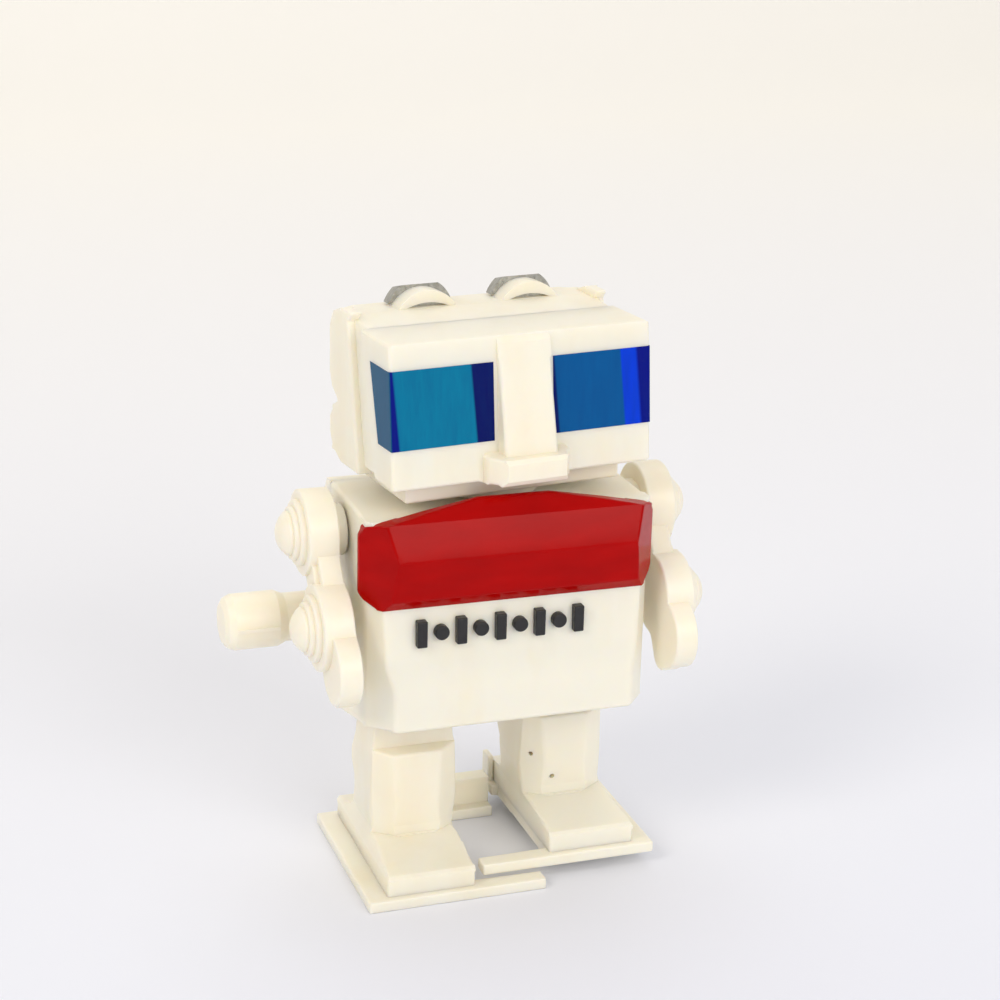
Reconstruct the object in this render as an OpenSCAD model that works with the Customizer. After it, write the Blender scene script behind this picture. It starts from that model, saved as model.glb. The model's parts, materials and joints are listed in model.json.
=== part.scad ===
// Wind-up walking robot: moulded head, torso and arms, two crank-driven legs and a spring motor.
// X runs to the robot's left, the robot faces -Y, Z is up. The right foot stands on z = 0.

/* [Head] */
// Half width of the face
face_half_w = 22.8; // [22.4:0.1:23]
// Height of the face at its front edge
face_h = 22.8; // [22.4:0.1:23.2]
// Turn of the head to the robot's left when at rest, in degrees
head_turn = 7.2; // [0:0.1:9]
// Lean of the face towards the back, in degrees
face_lean = 5.5; // [4:0.1:7]
// Half width of the nose bar where the windows end
nose_half_w = 5.2; // [4.8:0.1:5.6]

/* [Torso] */
// Half width of the torso
torso_half_w = 24; // [23.8:0.1:24.1]
// Height of the torso's lower front edge
torso_z0 = 29.4; // [29.2:0.1:29.6]
// Height of the torso's top
torso_z1 = 64; // [63.6:0.1:64.2]
// Wall of the moulded shells
wall = 1.5; // [1.2:0.1:1.6]

/* [Arms] */
// Radius of the shoulder and elbow discs
arm_r = 7; // [6.6:0.1:7.1]
// Length of the upper arm from shoulder to elbow
upper_arm = 16; // [15.8:0.1:16.3]
// Swing of the arms forward of straight down, at rest, in degrees
arm_swing = 36.6; // [34:0.1:40]

/* [Legs] */
// Half width over both sole plates
sole_half_w = 25.3; // [25:0.1:25.5]
// Thickness of the sole plates
sole_t = 1.9; // [1.7:0.1:1.9]
// Throw of the leg cranks
crank_r = 1.93; // [1.9:0.01:2]
// Crank angle at rest, in degrees
crank_angle = 36.6; // [34:0.1:40]
// Depth of a sole plate's front tab, front to back
tab_depth = 3; // [2.6:0.1:3.1]

/* [Motor] */
// Gear module
gear_module = 0.5; // [0.5]
// Diameter of the winding knob
knob_d = 9.3; // [8.8:0.1:9.4]

/* [Hidden] */
$fn = 64;
eps = 0.01;
run_gap = 0.05;

// axes of the motor's arbors, as [y, z]
key_at = [4.3, 42.4];
crank_at = [-5, 38];
great_teeth = 30;
second_pinion_teeth = 10;
second_teeth = 26;
crank_pinion_teeth = 10;
crank_teeth = 20;
escape_pinion_teeth = 8;
star_teeth = 12;
key_to_second = mesh_distance(great_teeth, second_pinion_teeth);
second_to_crank = mesh_distance(second_teeth, crank_pinion_teeth);
crank_to_escape = mesh_distance(crank_teeth, escape_pinion_teeth);
key_to_crank = norm(key_at - crank_at);
second_along = (key_to_second^2 - second_to_crank^2 + key_to_crank^2) / (2 * key_to_crank);
second_off = sqrt(key_to_second^2 - second_along^2);
to_crank = (crank_at - key_at) / key_to_crank;
second_at = key_at + second_along * to_crank + second_off * [to_crank[1], -to_crank[0]];
escape_dir = 150;
escape_at = crank_at + crank_to_escape * [cos(escape_dir), sin(escape_dir)];
// the pallet hangs above the star wheel, leaning back from the front wall
pallet_lean = 67;
pallet_at = escape_at + 5.2 * [cos(pallet_lean), sin(pallet_lean)];

// leg cranks
crank_pin_r = 1.2;
guide_pin_r = 1;
guide_hole_r = guide_pin_r + crank_r + 0.15;
guide_rise = 12;
crank_off = crank_r * [cos(crank_angle), sin(crank_angle)];
// offsets of each leg from mid-stride; the right leg is the low one
right_off = -crank_off;
left_off = crank_off;
leg_x0 = 7.1;
leg_x1 = 20.8;
tongue_x0 = 14;
tongue_x1 = 17;
plate_x0 = 10.5;
plate_x1 = 11.7;
sole_y0 = -20.2;
sole_y1 = 13.6;

// arms
shoulder_at = [-0.5, 58.6];
arm_x0 = 26.4;
arm_x1 = 31.4;
hand_x1 = 30.2;

// head, in its own frame: origin at the middle of the face's lower edge
head_at = [0, -14.5, 69.6];
window_z0 = 6.4;
window_z1 = 18.8;

// ends of the bounding box, and the shift that puts its middle over the origin
knob_end = 43.4;
dome_tip = arm_x1 + 3.89;
hump_rear = 16;
shift_x = (knob_end - dome_tip) / 2;
shift_y = -(sole_y0 + right_off[0] + hump_rear) / 2;

function mesh_distance(a, b) = gear_module * (a + b) / 2;
// direction from one axis to another, in degrees
function bearing(a, b) = atan2(b[1] - a[1], b[0] - a[0]);

// One frame for every node: the middle of the bounding box is above the origin.
module place() {
    translate([shift_x, shift_y, 0])
        children();
}

// A [y, z] outline extruded along X from x0 to x1.
module along_x(x0, x1) {
    translate([x0, 0, 0])
        rotate([90, 0, 90])
            linear_extrude(x1 - x0)
                children();
}

// An [x, z] outline extruded along Y from y0 to y1.
module along_y(y0, y1) {
    translate([0, y1, 0])
        rotate([90, 0, 0])
            linear_extrude(y1 - y0)
                children();
}

// A round bar along X about the axis at = [y, z].
module bar_x(x0, x1, r, at) {
    translate([x0, at[0], at[1]])
        rotate([0, 90, 0])
            cylinder(h = x1 - x0, r = r);
}

// The robot's left side is the mirror image of its right side (side = -1 right, 1 left).
module on_side(side) {
    mirror([side < 0 ? 1 : 0, 0, 0])
        children();
}

// ---------------------------------------------------------------- head

module head_frame() {
    rotate([0, 0, head_turn])
        translate(head_at)
            children();
}

// Set back of a height on the leaning face.
function lean(z) = z * tan(face_lean);
// Rear edge of the front box at a height.
function box_rear(z) = 7.4 + z * 0.26;
// Rear edge of the middle band at a height.
function band_rear(z) = 13.6 + z * 0.2;
window_rear = [5.8, 9.2];

module face_profile(inset) {
    polygon([[lean(0) + inset, inset], [box_rear(0), inset],
        [box_rear(face_h), face_h - inset], [lean(face_h) + inset, face_h - inset]]);
}

// The space that a window pane fills, on the left side of the face.
module window_space(depth) {
    difference() {
        intersection() {
            along_x(nose_half_w, face_half_w + eps)
                polygon([[lean(window_z0) - eps, window_z0], [window_rear[0], window_z0],
                    [window_rear[1], window_z1], [lean(window_z1) - eps, window_z1]]);
            along_x(nose_half_w, face_half_w + eps)
                polygon([[-eps, 0], [window_rear[0], 0], [window_rear[1] + 1, face_h], [-eps, face_h]]);
        }
        along_x(nose_half_w - eps, face_half_w - depth)
            polygon([[lean(window_z0) + depth, window_z0 - eps], [window_rear[1] + 2, window_z0 - eps],
                [window_rear[1] + 2, window_z1 + eps], [lean(window_z1) + depth, window_z1 + eps]]);
    }
}

// Sloping nose bar: nearly flush with the face at the top, proud of it at the mouth.
module nose() {
    along_x(-nose_half_w + 0.6, nose_half_w - 0.6)
        polygon([[lean(4), 4], [-2.6, 4], [lean(face_h) - 0.5, face_h - 1.2],
            [lean(face_h) - 0.1, face_h - 0.4], [lean(face_h) + 0.2, face_h - 0.4]]);
}

// Mouth block with bevelled ends.
module mouth() {
    intersection() {
        along_x(-8, 8)
            polygon([[0.3, -0.1], [-3.4, -0.1], [-4.3, 0.9], [-4.3, 3.6], [-3.9, 4.3], [lean(4.6), 4.6]]);
        linear_extrude(8)
            polygon([[-7.3, 0.5], [-7.3, -1.2], [-5, -4.5], [5, -4.5], [7.3, -1.2], [7.3, 0.5]]);
    }
}

module head_front_shell() {
    color("ivory")
        place()
            head_frame() {
                difference() {
                    along_x(-face_half_w, face_half_w)
                        face_profile(0);
                    along_x(-face_half_w + wall, face_half_w - wall)
                        polygon([[lean(wall) + wall, wall], [box_rear(0) + 3, wall],
                            [box_rear(face_h) + 3, face_h - wall], [lean(face_h) + wall, face_h - wall]]);
                    for (side = [-1, 1])
                        on_side(side)
                            window_space(wall + 1);
                }
                // screw bosses under the windows
                for (side = [-1, 1])
                    difference() {
                        head_bar(side * head_screw[0], 0.6, 16, 1.9);
                        head_bar(side * head_screw[0], 9, 17, 0.9);
                        along_x(-face_half_w, face_half_w)
                            polygon([[-3, 0], [lean(0) + 0.5, 0], [lean(9) + 0.5, 9], [-3, 9]]);
                    }
                difference() {
                    union() {
                        nose();
                        mouth();
                    }
                    along_x(-9, 9)
                        polygon([[lean(0), 0], [6, 0], [6, face_h], [lean(face_h), face_h]]);
                }
            }
}

// Screws through the back of the head, as [x, z].
head_screw = [14, 3.6];

// A round bar along Y inside the head.
module head_bar(x, y0, y1, r) {
    translate([x, y0, head_screw[1]])
        rotate([-90, 0, 0])
            cylinder(h = y1 - y0, r = r);
}

// Two-lobed ear plate outline, in [y, z] of the head frame.
module ear_outline() {
    polygon([[band_rear(0) - 0.4, -1], [20.5, -1], [23.8, 0.6], [25.2, 3.2], [25.2, 6], [23.6, 8],
        [21.6, 9], [21.6, 9.6], [23.8, 11], [24.8, 13.2], [24.8, 21], [23.4, 23.6], [20.6, 24.6],
        [band_rear(face_h) - 1.6, 24.6], [band_rear(face_h) - 0.4, 23]]);
}

hood_spread = 9.2;
hood_shift = 1.2;
hood_y = 20.3;
hood_base = face_h + 0.7;
hood_depth = 5;
hood_rim_y0 = 3.2;
hood_slot_y = 2.4;

// A low arch of the given depth along Y, cut off flat at its foot.
module arch(r, low, foot, y0, y1) {
    along_y(y0, y1)
        intersection() {
            translate([0, foot - low])
                circle(r = r);
            translate([-r, foot])
                square([2 * r, r]);
        }
}

// Side view of a hood: highest at its front arch, falling towards the back.
module hood_slope() {
    along_x(-8, 8)
        polygon([[0, -1.2], [0, 3.3], [0.6, 4], [hood_depth, 2.6], [hood_depth, -1.2]]);
}

// Narrow slot along the foot of a hood's front, from the depth y0 to its floor.
module hood_slot(y0) {
    along_y(y0, hood_slot_y)
        intersection() {
            translate([0, -8.2])
                circle(r = 9);
            translate([-4, 0.05])
                square([8, 2]);
        }
}

// White arch over its slot.
module hood() {
    difference() {
        intersection() {
            union() {
                arch(6, 2.2, -1, 0, hood_rim_y0);
                arch(5.2, 2.2, -1, 0, hood_depth);
            }
            hood_slope();
        }
        hood_slot(-1);
    }
}

module head_rear_shell() {
    core_w = face_half_w - 1;
    core_rear = 28.4;
    corner_rear = 24.8;
    color("ivory")
        place()
            head_frame() {
                difference() {
                    union() {
                        intersection() {
                            along_x(-core_w, core_w)
                                polygon([[box_rear(0), 0], [core_rear - 2, 0], [core_rear, 2], [core_rear, 21.6],
                                    [core_rear - 1.6, face_h + 0.6], [hood_y, hood_base], [box_rear(face_h), face_h]]);
                            linear_extrude(30)
                                polygon([[-core_w, 0], [-core_w, corner_rear], [-16.6, core_rear],
                                    [16.6, core_rear], [core_w, corner_rear], [core_w, 0]]);
                        }
                        for (side = [-1, 1])
                            on_side(side)
                                along_x(core_w - 1, face_half_w + 0.3)
                                    ear_outline();
                        for (side = [-1, 1])
                            translate([hood_shift + side * hood_spread, hood_y, hood_base])
                                hood();
                    }
                    intersection() {
                        along_x(-core_w + wall, core_w - wall)
                            polygon([[box_rear(0) - 3, wall], [core_rear - wall, wall], [core_rear - wall, 20.9],
                                [core_rear - 2.5, face_h - wall], [box_rear(face_h) - 3, face_h - wall]]);
                        linear_extrude(30)
                            polygon([[-core_w, 0], [-core_w, corner_rear - wall - 1], [-16, core_rear - wall],
                                [16, core_rear - wall], [core_w, corner_rear - wall - 1], [core_w, 0]]);
                    }
                    // opening over the neck post
                    translate([0, -head_at[1], -2])
                        cylinder(h = 5, r = 4.6);
                    for (side = [-1, 1]) {
                        head_bar(side * head_screw[0], 20, 32, 1);
                        head_bar(side * head_screw[0], core_rear - 1, core_rear + 1, 2);
                    }
                }
                for (side = [-1, 1])
                    difference() {
                        head_bar(side * head_screw[0], 16.1, core_rear - wall + 0.3, 1.9);
                        head_bar(side * head_screw[0], 15, core_rear + 1, 1);
                    }
            }
}

module window_pane(side) {
    color([0, 0.25, 0.65])
        place()
            head_frame()
                on_side(side)
                    window_space(wall - 0.2);
}

module window_right() {
    window_pane(-1);
}

module window_left() {
    window_pane(1);
}

// Silver band over the back of a hood, and the silver strip in its slot.
module hood_insert(side) {
    color("silver")
        place()
            head_frame()
                translate([hood_shift + side * hood_spread, hood_y, hood_base]) {
                    intersection() {
                        difference() {
                            arch(6, 2.2, 0.3, hood_rim_y0, hood_depth);
                            arch(5.2, 2.2, -1, 0, hood_depth + 1);
                        }
                        hood_slope();
                    }
                    hood_slot(0.9);
                }
}

module hood_insert_right() {
    hood_insert(-1);
}

module hood_insert_left() {
    hood_insert(1);
}

module head_screws() {
    color("silver")
        place()
            head_frame()
                for (side = [-1, 1]) {
                    head_bar(side * head_screw[0], 9.5, 28.2, 0.9);
                    head_bar(side * head_screw[0], 27.4, 28.2, 1.9);
                }
}

// Plinth under the head and the post that turns in the torso's top.
neck_r = 6;
neck_foot = torso_z1 - wall - 0.15;

module neck_post() {
    color("ivory")
        place()
            rotate([0, 0, head_turn])
                difference() {
                    union() {
                        translate([-19, -10.9, 66.2])
                            cube([38, 18.4, 3.4]);
                        translate([0, 0, torso_z1 + 0.15])
                            cylinder(h = 2.5, r = 9);
                        translate([0, 0, neck_foot])
                            cylinder(h = 3, r = neck_r);
                        translate([0, 0, 66.2])
                            cylinder(h = 6.2, r = 4.5);
                    }
                    translate([0, 0, neck_foot - 1])
                        cylinder(h = 6, r = 1);
                }
}

// Retaining washer and its screw below the torso's top.
module neck_washer() {
    color("silver")
        place()
            rotate_extrude()
                polygon([[0, neck_foot - 2.1], [2, neck_foot - 2.1], [2.4, neck_foot - 1.8], [2.4, neck_foot - 1],
                    [7.6, neck_foot - 1], [7.6, neck_foot], [1, neck_foot], [1, neck_foot + 4], [0, neck_foot + 4.6]]);
}

// ---------------------------------------------------------------- torso

split_y = 8;
torso_front = -18.2;
torso_rear = 12;
panel_z0 = 50;

module torso_profile() {
    polygon([[torso_front, torso_z0], [torso_front, torso_z0 + 7.2], [-16.8, torso_z0 + 11],
        [-16.2, panel_z0], [-15, torso_z1 - 1.2], [-14, torso_z1], [10, torso_z1], [torso_rear, torso_z1 - 3],
        [torso_rear, torso_z0 - 2], [10.6, torso_z0 - 3.9], [3, torso_z0 - 3.9], [-14, torso_z0]]);
}

module torso_plan(inset) {
    corner_x = 20.2 - inset / 2;
    corner_y = -13 + inset / 2;
    side_x = torso_half_w - inset;
    polygon([[-corner_x, torso_front + inset], [-side_x, corner_y], [-side_x, 40], [side_x, 40],
        [side_x, corner_y], [corner_x, torso_front + inset]]);
}

module torso_inside() {
    intersection() {
        along_x(-torso_half_w + wall, torso_half_w - wall)
            polygon([[torso_front + wall, 20], [torso_front + wall, torso_z0 + 7.4], [-15.3, torso_z0 + 11.2],
                [-14.7, panel_z0], [-13.6, torso_z1 - wall], [9.2, torso_z1 - wall],
                [torso_rear - wall, torso_z1 - 4], [torso_rear - wall, 20]]);
        linear_extrude(80)
            torso_plan(wall);
    }
}

module torso_hollow() {
    difference() {
        intersection() {
            along_x(-torso_half_w, torso_half_w)
                torso_profile();
            linear_extrude(80)
                torso_plan(0);
        }
        torso_inside();
    }
}

// Front outline of the chest panel, with a shallow gable along its top.
module panel_outline() {
    polygon([[-24.3, 51], [-22.6, 49.9], [22.6, 49.9], [24.3, 51], [24.9, 52], [24.9, 61.6], [24.2, 63],
        [22.5, 63.8], [15, 65.3], [6, 66.9], [-6, 66.9], [-15, 65.3], [-22.5, 63.8], [-24.2, 63],
        [-24.9, 61.6], [-24.9, 52]]);
}

// Screw bosses that join the two shells, as [x, z].
shell_screw_spots = [[20.4, 37.6], [20.4, 59]];
base_screw_at = [8, -13.2];

module shell_bosses(y0, y1, r) {
    for (side = [-1, 1])
        for (p = shell_screw_spots)
            translate([side * p[0], y1, p[1]])
                rotate([90, 0, 0])
                    cylinder(h = y1 - y0, r = r);
}

module torso_front_shell() {
    color("ivory")
        place()
            difference() {
                union() {
                    intersection() {
                        torso_hollow();
                        translate([-40, -40, 0])
                            cube([80, 40 + split_y, 80]);
                    }
                    shell_bosses(4.2, split_y, 2.2);
                    for (side = [-1, 1])
                        translate([side * base_screw_at[0], base_screw_at[1], base_z1]) {
                            cylinder(h = 4.4, r = 2);
                            translate([-1, -4, 0])
                                cube([2, 3, 4.4]);
                        }
                }
                shell_bosses(4, split_y + 1, 0.95);
                for (side = [-1, 1]) {
                    translate([side * base_screw_at[0], base_screw_at[1], base_z1 - 1])
                        cylinder(h = 4, r = 0.95);
                    on_side(side)
                        bar_x(20, 30, 2 + run_gap, shoulder_at);
                }
                bar_x(-30, -20, 2.6, key_at);
                translate([0, 0, torso_z1 - 5])
                    cylinder(h = 10, r = neck_r + run_gap);
            }
}

module torso_rear_shell() {
    hump_w = 17;
    color("ivory")
        place()
            difference() {
                union() {
                    intersection() {
                        torso_hollow();
                        translate([-40, split_y, 0])
                            cube([80, 40, 80]);
                    }
                    along_x(-hump_w, hump_w)
                        polygon([[torso_rear - wall, 27.4], [14.6, 27.4], [hump_rear, 29.5], [hump_rear, 53],
                            [torso_rear, 58.5], [torso_rear - wall, 58.5]]);
                    shell_bosses(split_y, torso_rear - 0.5, 2.2);
                }
                along_x(-hump_w + wall, hump_w - wall)
                    polygon([[8.6, 29], [13.8, 29], [14.5, 30], [14.5, 52.6], [torso_rear, 56.6], [8.6, 56.6]]);
                shell_bosses(split_y - 1, torso_rear + 1, 1);
            }
}

// Faceted red panel: a front crease above mid height and bevelled ends that wrap the corners.
module chest_panel() {
    color([0.7, 0, 0.03])
        place()
            difference() {
                intersection() {
                    along_y(-20, -10)
                        panel_outline();
                    along_x(-26, 26)
                        polygon([[-11.6, 49], [-15.6, 49], [-16.4, 50.2], [-17.5, 51.6], [-18.6, 58.3],
                            [-16.8, 64], [-14.7, 67], [-11.6, 67]]);
                    linear_extrude(80)
                        polygon([[-24.9, -11.6], [-24.9, -12.6], [-20.2, -18.3], [-18.9, -19.5], [18.9, -19.5],
                            [20.2, -18.3], [24.9, -12.6], [24.9, -11.6]]);
                }
                intersection() {
                    along_x(-torso_half_w, torso_half_w)
                        polygon([[0, 40], [-16.8, torso_z0 + 11], [-16.2, panel_z0], [-15, torso_z1 - 1.2],
                            [-14, torso_z1], [-13.4, torso_z1 + 6], [0, torso_z1 + 6]]);
                    linear_extrude(80)
                        torso_plan(0);
                }
            }
}

// Plain raised marks under the panel: upright bars with round dots between them.
module chest_marks() {
    mark_pitch = 6.6;
    color("black")
        place()
            difference() {
                along_y(-17.7, -15) {
                    for (i = [0:4])
                        translate([-16.6 + i * mark_pitch, 43.6])
                            square([1.7, 4.4]);
                    for (i = [0:3])
                        translate([-16.6 + 0.85 + (i + 0.5) * mark_pitch, 45.8])
                            circle(r = 1.2);
                }
                along_x(-30, 30)
                    polygon([[-10, 40], [-16.8, torso_z0 + 11], [-16.2, panel_z0], [-10, 52]]);
            }
}

leg_hole_x0 = 6.4;
leg_hole_x1 = 21.2;
base_z0 = 30.2;
base_z1 = 31.8;

// Floor of the torso, open where the hips and their tongues swing.
module base_plate() {
    color("ivory")
        place()
            difference() {
                intersection() {
                    translate([-30, torso_front + wall + 0.1, base_z0])
                        cube([60, torso_rear - torso_front - 2 * wall - 0.2, base_z1 - base_z0]);
                    linear_extrude(80)
                        torso_plan(wall + 0.1);
                }
                for (side = [-1, 1]) {
                    on_side(side) {
                        translate([leg_hole_x0, -9.4, 29])
                            cube([leg_hole_x1 - leg_hole_x0, 18, 5]);
                        translate([tongue_x0 - 0.6, -11.4, 29])
                            cube([tongue_x1 - tongue_x0 + 1.2, 6, 5]);
                    }
                    translate([side * base_screw_at[0], base_screw_at[1], 29])
                        cylinder(h = 5, r = 1);
                }
            }
}

module shell_screws() {
    color("silver")
        place() {
            shell_bosses(5.5, torso_rear + 0.2, 0.95);
            shell_bosses(torso_rear, torso_rear + 0.8, 1.9);
        }
}

module base_screws() {
    color("silver")
        place()
            for (side = [-1, 1])
                translate([side * base_screw_at[0], base_screw_at[1], base_z0 - 0.8]) {
                    cylinder(h = 0.8, r = 1.9);
                    cylinder(h = 5.4, r = 0.95);
                }
}

// ---------------------------------------------------------------- arms

elbow = upper_arm * [0, -1];
wrist = elbow + [-1.7, -7.4];
thumb = elbow + [1.6, -9.9];

// Stepped rings and a low dome on the outside of a disc.
module arm_boss(at) {
    bar_x(arm_x1 - eps, arm_x1 + 0.9, 5.4, at);
    bar_x(arm_x1 + 0.9 - eps, arm_x1 + 1.7, 4.4, at);
    translate([arm_x1 + 1.7 - eps, at[0], at[1]])
        rotate([0, 90, 0])
            rotate_extrude()
                intersection() {
                    translate([0, -2.4])
                        circle(r = 4.6);
                    square([3.6, 3]);
                }
}

// An arm that hangs straight down from the shoulder at the origin.
module arm_body() {
    difference() {
        union() {
            bar_x(arm_x0, arm_x1, arm_r, [0, 0]);
            bar_x(arm_x0, arm_x1, arm_r, elbow);
            bar_x(arm_x0, hand_x1, 5.8, wrist);
            bar_x(arm_x0, hand_x1 - 0.8, 2.9, thumb);
            along_x(arm_x0, arm_x1 - 1.4)
                translate([-4.2, elbow[1]])
                    square([8.4, upper_arm]);
            along_x(arm_x0, arm_x1 - 0.6)
                translate([-2.6, elbow[1]])
                    square([5.2, upper_arm]);
            arm_boss([0, 0]);
            arm_boss(elbow);
            // collar that spaces the arm from the torso
            bar_x(torso_half_w + 0.3, arm_x0 + eps, 4.2, [0, 0]);
        }
        bar_x(torso_half_w, arm_x0 + 4, 2, [0, 0]);
    }
}

module arm(side) {
    color("ivory")
        place()
            on_side(side)
                translate([0, shoulder_at[0], shoulder_at[1]])
                    rotate([-arm_swing, 0, 0])
                        arm_body();
}

module arm_right() {
    arm(-1);
}

module arm_left() {
    arm(1);
}

// Pin that the arm is pressed onto; it turns in the torso's side wall.
module shoulder_pin(side) {
    color("silver")
        place()
            on_side(side)
                bar_x(20.4, arm_x0 + 4, 2, shoulder_at);
}

module shoulder_pin_right() {
    shoulder_pin(-1);
}

module shoulder_pin_left() {
    shoulder_pin(1);
}

// Spring clip that holds a shoulder pin from inside the torso.
module shoulder_clip(side) {
    color("silver")
        place()
            on_side(side)
                difference() {
                    bar_x(21.4, 22.4, 3.6, shoulder_at);
                    bar_x(21, 23, 2, shoulder_at);
                }
}

module shoulder_clip_right() {
    shoulder_clip(-1);
}

module shoulder_clip_left() {
    shoulder_clip(1);
}

// ---------------------------------------------------------------- legs

// A leg is drawn at mid-stride, then moved by its crank offset. At mid-stride its sole is
// one crank offset above the floor, so the right foot stands on z = 0 at rest.
sole_z = crank_off[1];
leg_crank = crank_at - [0, sole_z];

module leg_place(side) {
    off = side < 0 ? right_off : left_off;
    translate([0, off[0], off[1] + sole_z])
        on_side(side)
            children();
}

// Side outline of the shoe and the shin, in [y, z] above the sole.
module leg_profile() {
    polygon([[-19, sole_t], [-19, 4.8], [-18.4, 5.3], [-7.6, 7], [-7.4, 8.4], [-7.8, 12.2], [-7.4, 21.2],
        [-5.2, 21.8], [-5, 31], [5, 31], [5.2, 21], [7.2, 17], [7, 15], [4.4, 12.4], [5.6, 8.4], [6.6, 6.4],
        [12.2, 5.4], [12.8, 4.6], [12.8, sole_t]]);
}

// Front outline: the shoe is wider than the shin.
module leg_front() {
    polygon([[7, 0], [7, 5.6], [leg_x0 - 0.3, 7], [leg_x0 - 1.1, 12], [leg_x0 - 0.6, 21], [leg_x0 + 0.6, 32],
        [leg_x1 - 0.8, 32], [leg_x1, 21], [leg_x1 + 0.3, 12], [leg_x1, 7.4], [21.7, 5.2], [21.9, 4.6], [21.9, 0]]);
}

// Plan of the shin, with a narrow inner and a wide outer bevel down its front.
module shin_plan() {
    polygon([[leg_x0 - 1.5, 20], [leg_x0 - 1.5, -4.8], [10.6, -8.2], [16.6, -8.2], [leg_x1 + 1, -4.6],
        [leg_x1 + 1, 20]]);
}

module leg_solid() {
    intersection() {
        along_x(0, 30)
            leg_profile();
        along_y(-30, 30)
            leg_front();
        union() {
            linear_extrude(6.8)
                translate([0, -30])
                    square([30, 60]);
            translate([0, 0, 6.7])
                linear_extrude(30)
                    shin_plan();
        }
    }
}

// A leg without the moulding marks that differ between the two legs.
module leg_body() {
    difference() {
        union() {
            leg_solid();
            // tongue that carries the crank bush and the guide hole
            along_x(tongue_x0, tongue_x1)
                translate([leg_crank[0], 0]) {
                    translate([-4, 30])
                        square([8, 14]);
                    translate([-4.8, 44])
                        square([9.6, leg_crank[1] + guide_rise + guide_hole_r + 2 - 44]);
                }
        }
        // hollow inside, closed by the sole plate
        along_x(leg_x0 + 1.5, leg_x1 - 1.5)
            polygon([[-17.4, sole_t - 1], [-17.4, 4], [-4.6, 5.6], [-4.4, 19.6], [3.6, 19.6], [2.8, 12.4],
                [4.6, 5], [11, 3.8], [11, sole_t - 1]]);
        bar_x(tongue_x0 - 1, tongue_x1 + 1, 1.8, leg_crank);
        bar_x(tongue_x0 - 1, tongue_x1 + 1, guide_hole_r, leg_crank + [0, guide_rise]);
        // hip recess clears the motor plate and the crank disc
        translate([leg_x0 - 1, -12, 29.2])
            cube([tongue_x0 - leg_x0 + 1, 24, 10]);
        for (p = sole_screw_spots)
            translate([p[0], p[1], 0])
                cylinder(h = 4, r = 0.8);
    }
}

sole_screw_spots = [[9, -15], [19.3, 9.6]];

module leg_right() {
    color("ivory")
        place()
            leg_place(-1)
                leg_body();
}

// A blind hole in the shin, drilled towards the back and turned about the vertical.
module shin_hole(at, turned, r) {
    translate(at)
        rotate([-90, 0, turned])
            translate([0, 0, -4])
                cylinder(h = 6.4, r = r);
}

// The left leg also has a pin hole in the front of its shin and one in its inner bevel.
module leg_left() {
    color("ivory")
        place()
            leg_place(1)
                difference() {
                    leg_body();
                    shin_hole([11.4, -8.2, 10.1], 0, 0.45);
                    shin_hole([7.8, -6.4, 14.2], -34, 0.4);
                }
}

// Sole plate with a front tab that reaches past the middle; the right sole also has a rear crossbar.
module sole_body(bar_reach) {
    tab_reach = 5;
    difference() {
        union() {
            translate([leg_x0 - 0.1, sole_y0, 0])
                cube([sole_half_w - leg_x0 + 0.1, sole_y1 - sole_y0, sole_t]);
            translate([-tab_reach, sole_y0, 0])
                cube([tab_reach + leg_x0, tab_depth, sole_t]);
            translate([-bar_reach, 7.4, 0])
                cube([bar_reach + leg_x0, sole_y1 - 7.4, sole_t]);
            translate([-bar_reach, 9.6, 0])
                cube([bar_reach + 6.9, 3.2, 6.7]);
        }
        for (p = sole_screw_spots)
            translate([p[0], p[1], -1]) {
                cylinder(h = 4, r = 0.8);
                cylinder(h = 1.9, r = 1.7);
            }
    }
}

module sole_right() {
    color("ivory")
        place()
            leg_place(-1)
                sole_body(5);
}

module sole_left() {
    color("ivory")
        place()
            leg_place(1)
                sole_body(-5.8);
}

module sole_screws(side) {
    color("silver")
        place()
            leg_place(side)
                for (p = sole_screw_spots)
                    translate([p[0], p[1], 0.1]) {
                        cylinder(h = 0.8, r = 1.7);
                        cylinder(h = 3.7, r = 0.8);
                    }
}

module sole_screws_right() {
    sole_screws(-1);
}

module sole_screws_left() {
    sole_screws(1);
}

module crank_bush(side) {
    color("gold")
        place()
            leg_place(side)
                difference() {
                    bar_x(tongue_x0, tongue_x1, 1.8, leg_crank);
                    bar_x(tongue_x0 - 1, tongue_x1 + 1, crank_pin_r + run_gap, leg_crank);
                }
}

module crank_bush_right() {
    crank_bush(-1);
}

module crank_bush_left() {
    crank_bush(1);
}

// ---------------------------------------------------------------- motor

arbor_r = 1;
key_arbor_r = 1.5;

thin_r = 0.7;

// Holes that both motor plates carry for the arbors, each [position, radius].
arbor_holes = [[key_at, key_arbor_r], [second_at, arbor_r], [crank_at, arbor_r], [escape_at, thin_r]];
spacer_spots = [[-9.5, 56], [9, 55.5], [11.8, 36]];

module motor_plate(side) {
    color("gainsboro")
        place()
            on_side(side)
                difference() {
                    along_x(plate_x0, plate_x1)
                        polygon([[-14, base_z1], [-10.2, base_z1], [-9.4, 35.4], [8.8, 35.4], [9, base_z1],
                            [10.2, base_z1], [10.6, 34], [13, 34.4], [13.6, 36], [13.6, 50], [11.2, 55.4], [9.6, 57.4],
                            [-11.6, 58], [-13.8, 54]]);
                    for (hole = arbor_holes)
                        bar_x(plate_x0 - 1, plate_x1 + 1, hole[1] + run_gap, hole[0]);
                    if (side > 0)
                        bar_x(plate_x0 - 1, plate_x1 + 1, thin_r, pallet_at);
                    for (spot = spacer_spots)
                        bar_x(plate_x0 - 1, plate_x1 + 1, 0.8, spot);
                }
}

module motor_plate_right() {
    motor_plate(-1);
}

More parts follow.
